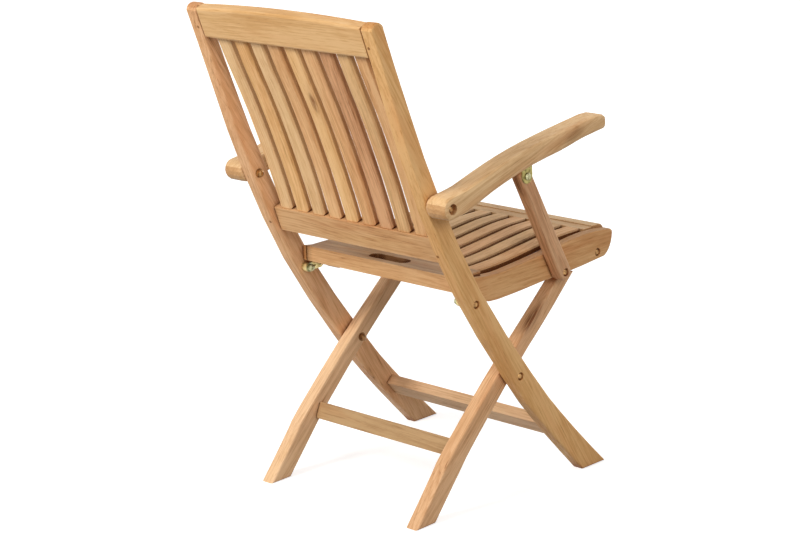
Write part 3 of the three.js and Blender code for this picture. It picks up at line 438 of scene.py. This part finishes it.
def brass(name, seed, bright, dull):
    """Satin brass, tarnished in soft patches, with faint turning marks."""
    material, t = new_material("brass_" + name)
    step = tuple(seed * part for part in BRASS_STEP)
    place = t.vector("ADD", t.node("TexCoord").outputs["Object"], step)
    patches = t.noise(place, *TARNISH_NOISE)
    marks = t.noise(t.vector("MULTIPLY", place, TURNING_STRETCH), *TURNING_NOISE)
    shader = t.node("BsdfPrincipled")
    t.feed_all(shader, {
        "Base Color": t.mix(t.remap(patches, *RANGES["tarnish"]), linear(*bright), linear(*dull)),
        "Metallic": BRASS_METALLIC,
        "Roughness": t.remap(marks, *RANGES["turning marks"]),
        "Normal": t.bump(marks, BRASS_BUMP, BRASS_BUMP_DEPTH),
    })
    t.show("Material", shader.outputs[0])
    return material


SMOOTH_ANGLE = math.radians(38)


def smoothing():
    """A modifier's tree that shades faces smooth across shallow edges."""
    tree = bpy.data.node_groups.new("SmoothByAngle", "GeometryNodeTree")
    for way in ("INPUT", "OUTPUT"):
        tree.interface.new_socket("Geometry", in_out=way, socket_type="NodeSocketGeometry")
    given = tree.nodes.new("NodeGroupInput")
    out = tree.nodes.new("NodeGroupOutput")
    faces = tree.nodes.new("GeometryNodeSetShadeSmooth")
    faces.domain = "FACE"
    edges = tree.nodes.new("GeometryNodeSetShadeSmooth")
    edges.domain = "EDGE"
    angle = tree.nodes.new("GeometryNodeInputMeshEdgeAngle")
    shallow = tree.nodes.new("FunctionNodeCompare")
    shallow.operation = "LESS_EQUAL"
    shallow.inputs["B"].default_value = SMOOTH_ANGLE
    link = tree.links.new
    link(given.outputs[0], faces.inputs["Geometry"])
    link(faces.outputs["Geometry"], edges.inputs["Geometry"])
    link(angle.outputs["Unsigned Angle"], shallow.inputs["A"])
    link(shallow.outputs[0], edges.inputs["Shade Smooth"])
    link(edges.outputs["Geometry"], out.inputs[0])
    return tree


SMOOTHING = smoothing()


def dress(piece, material):
    """Gives a piece its one material and smooth shading."""
    piece.data.materials.clear()
    piece.data.materials.append(material)
    piece.modifiers.new("smooth", "NODES").node_group = SMOOTHING


# Dark marks in single boards, a real knot in a back slat, painted shade on the right short leg where it
# passes behind the long leg and on the right post's head under the arm, and a dark mark on the right arm:
# middle in metres, radius, and how dark the core is
KNOT = ((0.0066, -0.2405, 0.7350), 0.0100, 0.9)
# Painted shade where the right short leg passes behind the long leg
LEG_PAINTED_SHADE = ((0.1965, 0.0890, 0.3090), 0.0165, 0.95)
# Painted shadow of the arm on the right post's head
POST_PAINTED_SHADE = ((0.2130, 0.0410, 0.5670), 0.0125, 0.9)
ARM_MARK = ((0.2765, 0.1230, 0.6455), 0.0125, 0.5)
MARKS = {"back_slat_5": KNOT, "short_leg_right": LEG_PAINTED_SHADE, "arm_post_right": POST_PAINTED_SHADE, "arm_right": ARM_MARK}

# Single boards: name, direction of the grain, tone, seed and what else sets the board apart
boards = [
    ("top_rail", ACROSS, GOLD, 11, {"figure": 0.75}),
    ("lower_back_rail", ACROSS, TAN, 12, {"figure": 1.2}),
    ("front_stretcher", ACROSS, STRAW, 13, {"figure": 1.2}),
    ("rear_stretcher", ACROSS, OLIVE, 14, {"level": 0.87, "figure": 1.6}),
    # The rear board takes the strongest painted shade, in its slot
    ("seat_rear_board", ACROSS, TAN, 15, {"weathered": 0.9, "seam_shade": OPEN_PAINTED_SHADE}),
    ("seat_front_rail", ACROSS, CREAM, 16, {"weathered": 0.3}),
    ("seat_nose_rail", ACROSS, CREAM, 17, {"weathered": 0.3}),
]

# Slats: name, direction of the grain, first seed, what else sets them apart, and their tones in turn
slats = (
    # The back slats' colours are raised by 7 %: painted light, standing in for light that the top rail and
    # the recess keep off them
    ("back_slat", BACK_GRAIN, 30, {"level": 1.07, "figure": 1.15},
     (CREAM, GOLD, CREAM, TAN, GOLD, TAN, ROSE, OLIVE, TAN)),
    # The seat slats take the strongest painted shade, in their gaps
    ("seat_slat", FORWARD, 50, {"level": 1.01, "seam_shade": OPEN_PAINTED_SHADE},
     (TAN, OLIVE, CREAM, OLIVE, TAN, BROWN, OLIVE, TAN)),
)
for name, grain, first_seed, look, tones in slats:
    for number, tone in enumerate(tones):
        boards.append((f"{name}_{number + 1}", grain, tone, first_seed + number, look))

# Pairs: name, direction of the grain, first seed, tones and levels on the right and left, and the rest
pairs = (
    ("long_leg", LONG_LEG_GRAIN, 70, (AMBER, PINK), (1.0, 1.08), {}),
    ("short_leg", SHORT_LEG_GRAIN, 75, (PINK, STRAW), (1.03, 1.05), {}),
    ("seat_side_rail", FORWARD, 80, (HONEY, HONEY), (1.0, 1.0), {"figure": 0.5, "weathered": 0.6}),
    ("arm", ARM_GRAIN, 85, (CREAM, CREAM), (1.03, 1.03), {}),
    ("arm_post", POST_GRAIN, 90, (UMBER, UMBER), (1.03, 1.03), {"figure": 1.5}),
)
for name, grain, first_seed, tones, levels, rest in pairs:
    for number, side in enumerate(SIDES):
        # Legs, rails, arms and posts take a lighter painted shade, in their bolt holes and joints
        look = {"level": levels[number], "seam_shade": BORED_PAINTED_SHADE, **rest}
        boards.append((f"{name}_{side}", grain, tones[number], first_seed + number, look))

for name, grain, tone, seed, look in boards:
    dress(nodes[name], teak(name, grain, tone, seed, dark_mark=MARKS.get(name), **look))

# Wooden pegs, each a hair proud of the stile that it goes through
LONG_LEG_INNER_X = 0.2024
RAY_START_Y = -1
PEG_HEIGHTS = {"top": 0.857, "low": 0.479}
PEG_INSET = 0.0078
PEG_RADIUS = 0.0028
PEG_DEPTH = 0.002
PEG_PROUD = 0.0002
PEG_PROFILE = (
    (0, -PEG_DEPTH),
    (PEG_RADIUS, -PEG_DEPTH),
    (PEG_RADIUS, PEG_PROUD * 0.4),
    (PEG_RADIUS * 0.86, PEG_PROUD),
    (0, PEG_PROUD * 1.2),
)
PEG_SEED = 200
PEG_SIDE_SEED = 10

# Screws in the brackets' leaves, near the seat's pivot, and in the arm plates, over the post's head
SEAT_PIVOT = Vector((0, -0.090603, 0.3805))
LEAF_OUTER_X = 0.1999
LEAF_SCREW_AHEAD = (0.034, 0.020)
LEAF_DROP = 0.0015
LEAF_SCREW_RADIUS = 0.0021
LEAF_SEED = 10
POST_HEAD = Vector((0, 0.050893, 0.580))
PLATE_SCREW_SPREAD = 0.007
PLATE_SCREW_RISE = 0.047
PLATE_SCREW_RADIUS = 0.0042

# A screw's head: a disc with two stepped half domes, in shares of its radius and of the dome's height
SCREW_DOME = 0.0012
DISC_HEIGHT = 0.45
DISC_EDGE = 0.97
DOME_STEPS = ((0.94, 0.27), (0.88, 0.72), (0.62, 0.93), (0.3, 1))
SLOT_WIDTH = 0.0010
SLOT_FIRST_TURN = 0.3
SLOT_TURN_STEP = 0.9
HALF_POINTS = 10
RING_POINTS = 24


def mesh_piece(name, shape, body, material):
    """A piece made of a bmesh, set riding on a body."""
    mesh = bpy.data.meshes.new(name)
    bmesh.ops.recalc_face_normals(shape, faces=shape.faces)
    shape.to_mesh(mesh)
    shape.free()
    piece = bpy.data.objects.new(name, mesh)
    bpy.context.scene.collection.objects.link(piece)
    dress(piece, material)
    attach(piece, body)


def facing_along(place, axis):
    """The matrix that sets a form made round Z at a place, facing along an axis."""
    return Matrix.Translation(place) @ axis.to_track_quat("Z", "Y").to_matrix().to_4x4()


def bridge(shape, low, high):
    """Faces between two closed rows of points, either of which may be a single point."""
    count = max(len(low), len(high))
    for i in range(count):
        j = (i + 1) % count
        corners = (low[i % len(low)], low[j % len(low)], high[j % len(high)], high[i % len(high)])
        distinct = list(dict.fromkeys(corners))
        if len(distinct) > 2:
            shape.faces.new(distinct)


def turned_profile(shape, profile, matrix):
    """A closed turned form: a profile of (radius, height) pairs spun about Z."""
    rings = []
    for radius, height in profile:
        count = RING_POINTS if radius else 1
        turns = (2 * math.pi * i / count for i in range(count))
        rings.append([
            shape.verts.new(matrix @ Vector((radius * math.cos(a), radius * math.sin(a), height)))
            for a in turns
        ])
    for low, high in zip(rings, rings[1:]):
        bridge(shape, low, high)


def half_disc(shape, radius, height, half, matrix):
    """The outline of one half of a screw's head, on one side of its slot."""
    start = math.asin(SLOT_WIDTH / 2 / radius)
    turns = (start + (math.pi - 2 * start) * i / HALF_POINTS for i in range(HALF_POINTS + 1))
    return [
        shape.verts.new(matrix @ Vector((radius * math.cos(a), half * radius * math.sin(a), height)))
        for a in turns
    ]


def stile_face(side, x, z):
    """Where a ray from behind meets a long leg, and the face's normal there."""
    leg = nodes[f"long_leg_{side}"]
    hit, place, normal, _ = leg.ray_cast(Vector((x, RAY_START_Y, z)), FORWARD)
    if not hit:
        raise RuntimeError(f"no stile behind {x}, {z}")
    return place, normal


def add_pegs():
    """Two pegs through each stile, one at each back rail."""
    for side, sign in SIDES.items():
        x = sign * (LONG_LEG_INNER_X + PEG_INSET)
        for number, (level, height) in enumerate(PEG_HEIGHTS.items()):
            name = f"peg_{level}_{side}"
            place, normal = stile_face(side, x, height)
            shape = bmesh.new()
            turned_profile(shape, PEG_PROFILE, facing_along(place, normal))
            wood = teak(name, normal, PEG_TONE, PEG_SEED + PEG_SIDE_SEED * sign + number)
            mesh_piece(name, shape, "back_frame", wood)


def add_screw(name, place, axis, radius, body, seed):
    """A slotted screw's head, facing along an axis."""
    matrix = facing_along(place, axis)
    turned = matrix @ Matrix.Rotation(seed * SLOT_TURN_STEP + SLOT_FIRST_TURN, 4, "Z")
    disc = SCREW_DOME * DISC_HEIGHT
    edge = radius * DISC_EDGE
    shape = bmesh.new()
    turned_profile(shape, ((0, -disc), (edge, -disc), (radius, 0), (edge, disc), (0, disc)), matrix)
    for half in (-1, 1):
        rows = [half_disc(shape, radius * share, SCREW_DOME * rise, half, turned)
                for share, rise in DOME_STEPS]
        shape.faces.new(rows[0])
        shape.faces.new(rows[-1])
        for low, high in zip(rows, rows[1:]):
            bridge(shape, low, high)
    mesh_piece(name, shape, body, brass(name, seed, *PLATE_BRASS))


def add_screws():
    """Two screws in each arm plate's inner face, and two in each pivot bracket's leaf."""
    for side, sign in SIDES.items():
        outward = Vector((sign, 0, 0))
        plate_low, plate_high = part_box(f"arm_bracket_{side}")
        inner_x = plate_low.x if sign > 0 else plate_high.x
        for number, way in enumerate((-1, 1)):
            place = Vector((inner_x, POST_HEAD.y + way * PLATE_SCREW_SPREAD, POST_HEAD.z + PLATE_SCREW_RISE))
            name = f"plate_screw_{number + 1}_{side}"
            add_screw(name, place, -outward, PLATE_SCREW_RADIUS, f"{side}_arm", number)
        for number, ahead in enumerate(LEAF_SCREW_AHEAD):
            face = Vector((sign * LEAF_OUTER_X, SEAT_PIVOT.y + ahead, SEAT_PIVOT.z - LEAF_DROP))
            place = face - outward * SCREW_DOME
            name = f"leaf_screw_{number + 1}_{side}"
            add_screw(name, place, outward, LEAF_SCREW_RADIUS, "seat", LEAF_SEED + number)


add_pegs()
add_screws()

# Brass nodes: the first row whose words are in a node's name gives its tone
finishes = {
    "leg_pivot_nut": AGED_BRASS,
    "seat_pivot_nut": NUT_BRASS,
    "pivot_bracket": PALE_BRASS,
    "post_head": NUT_BRASS,
    "arm_bracket": PLATE_BRASS,
    "bolt": WARM_BRASS,
    "nut": WARM_BRASS,
}
for number, name in enumerate(sorted(nodes)):
    fitting = [tones for words, tones in finishes.items() if words in name]
    if fitting:
        dress(nodes[name], brass(name, number, *fitting[0]))

# Studio: pale floor, white surroundings, soft lamps
WHITE = (1, 1, 1, 1)
WORLD_LEVEL = 0.4
FLOOR_REACH = 14.0
FLOOR_GLOW = 0.58
GLOW_REACH = (1.2, 5.0)
FLOOR_WHITE = 0.8
FLOOR_BOUNCE = 0.34
LAMP_AIM = Vector((0, 0, 0.45))

# Lamps: name, place, width, power in watts and colour
LAMPS = (
    ("key", (-0.9, -3.6, 2.9), 1.6, 118, (1, 0.985, 0.96)),
    ("fill", (3.3, -1.6, 2.3), 1.6, 47, (1, 0.99, 0.98)),
    ("front", (-0.2, 3.8, 1.9), 2.2, 44, (1, 0.99, 0.98)),
)


def seen_share(t):
    """1 where the camera, a shiny surface or glass looks straight at the surroundings."""
    path = t.node("LightPath").outputs
    either = t.math("MAXIMUM", path["Is Camera Ray"], path["Is Glossy Ray"])
    return t.math("MAXIMUM", either, path["Is Transmission Ray"])


def add_world():
    """White where it is seen, and a soft light elsewhere."""
    world = bpy.data.worlds.new("studio")
    bpy.context.scene.world = world
    world.use_nodes = True
    world.node_tree.nodes.clear()
    t = Tree(world.node_tree)
    strength = t.remap(seen_share(t), 0, 1, WORLD_LEVEL, 1.0)
    t.show("World", t.node("Background", WHITE, strength).outputs[0])


def add_floor():
    """A pale floor that takes the shadow and brightens to white with distance."""
    mesh = bpy.data.meshes.new("floor")
    reach = FLOOR_REACH
    corners = [(-reach, -reach, 0), (reach, -reach, 0), (reach, reach, 0), (-reach, reach, 0)]
    mesh.from_pydata(corners, [], [(0, 1, 2, 3)])
    floor = bpy.data.objects.new("floor", mesh)
    bpy.context.scene.collection.objects.link(floor)
    material, t = new_material("floor")
    share = seen_share(t)
    grey = t.remap(share, 0, 1, FLOOR_BOUNCE, FLOOR_WHITE)
    paint = t.node("BsdfDiffuse", t.node("CombineColor", grey, grey, grey).outputs[0]).outputs[0]
    from_middle = t.vector("LENGTH", t.node("TexCoord").outputs["Object"])
    strength = t.remap(from_middle, *GLOW_REACH, FLOOR_GLOW, 1.0)
    glow = t.node("Emission", WHITE, t.math("MULTIPLY", share, strength)).outputs[0]
    t.show("Material", t.node("AddShader", paint, glow).outputs[0])
    mesh.materials.append(material)


def add_lamps():
    """Soft round lamps, aimed at the chair."""
    for name, place, width, power, tint in LAMPS:
        light = bpy.data.lights.new(name, "AREA")
        light.shape = "DISK"
        light.size = width
        light.energy = power
        light.color = tint
        lamp = bpy.data.objects.new(name, light)
        lamp.location = place
        lamp.rotation_euler = (LAMP_AIM - Vector(place)).to_track_quat("-Z", "Y").to_euler()
        bpy.context.scene.collection.objects.link(lamp)


def place_camera():
    """The photograph's camera, from its place and three angles."""
    yaw, pitch, roll = CAMERA_YAW, CAMERA_PITCH, CAMERA_ROLL
    ahead = Vector((-math.sin(yaw) * math.cos(pitch), math.cos(yaw) * math.cos(pitch), -math.sin(pitch)))
    level = Vector((math.cos(yaw), math.sin(yaw), 0))
    above = level.cross(ahead)
    right = math.cos(roll) * level + math.sin(roll) * above
    up = math.cos(roll) * above - math.sin(roll) * level
    camera = bpy.data.cameras.new("camera")
    camera.sensor_width = SENSOR_WIDTH
    camera.sensor_fit = "HORIZONTAL"
    camera.lens = CAMERA_LENS
    eye = bpy.data.objects.new("camera", camera)
    turn = Matrix((right, up, -ahead)).transposed().to_4x4()
    eye.matrix_world = Matrix.Translation(CAMERA_PLACE) @ turn
    bpy.context.scene.collection.objects.link(eye)
    bpy.context.scene.camera = eye


add_world()
add_floor()
add_lamps()
place_camera()
bpy.context.scene.view_settings.view_transform = "Standard"
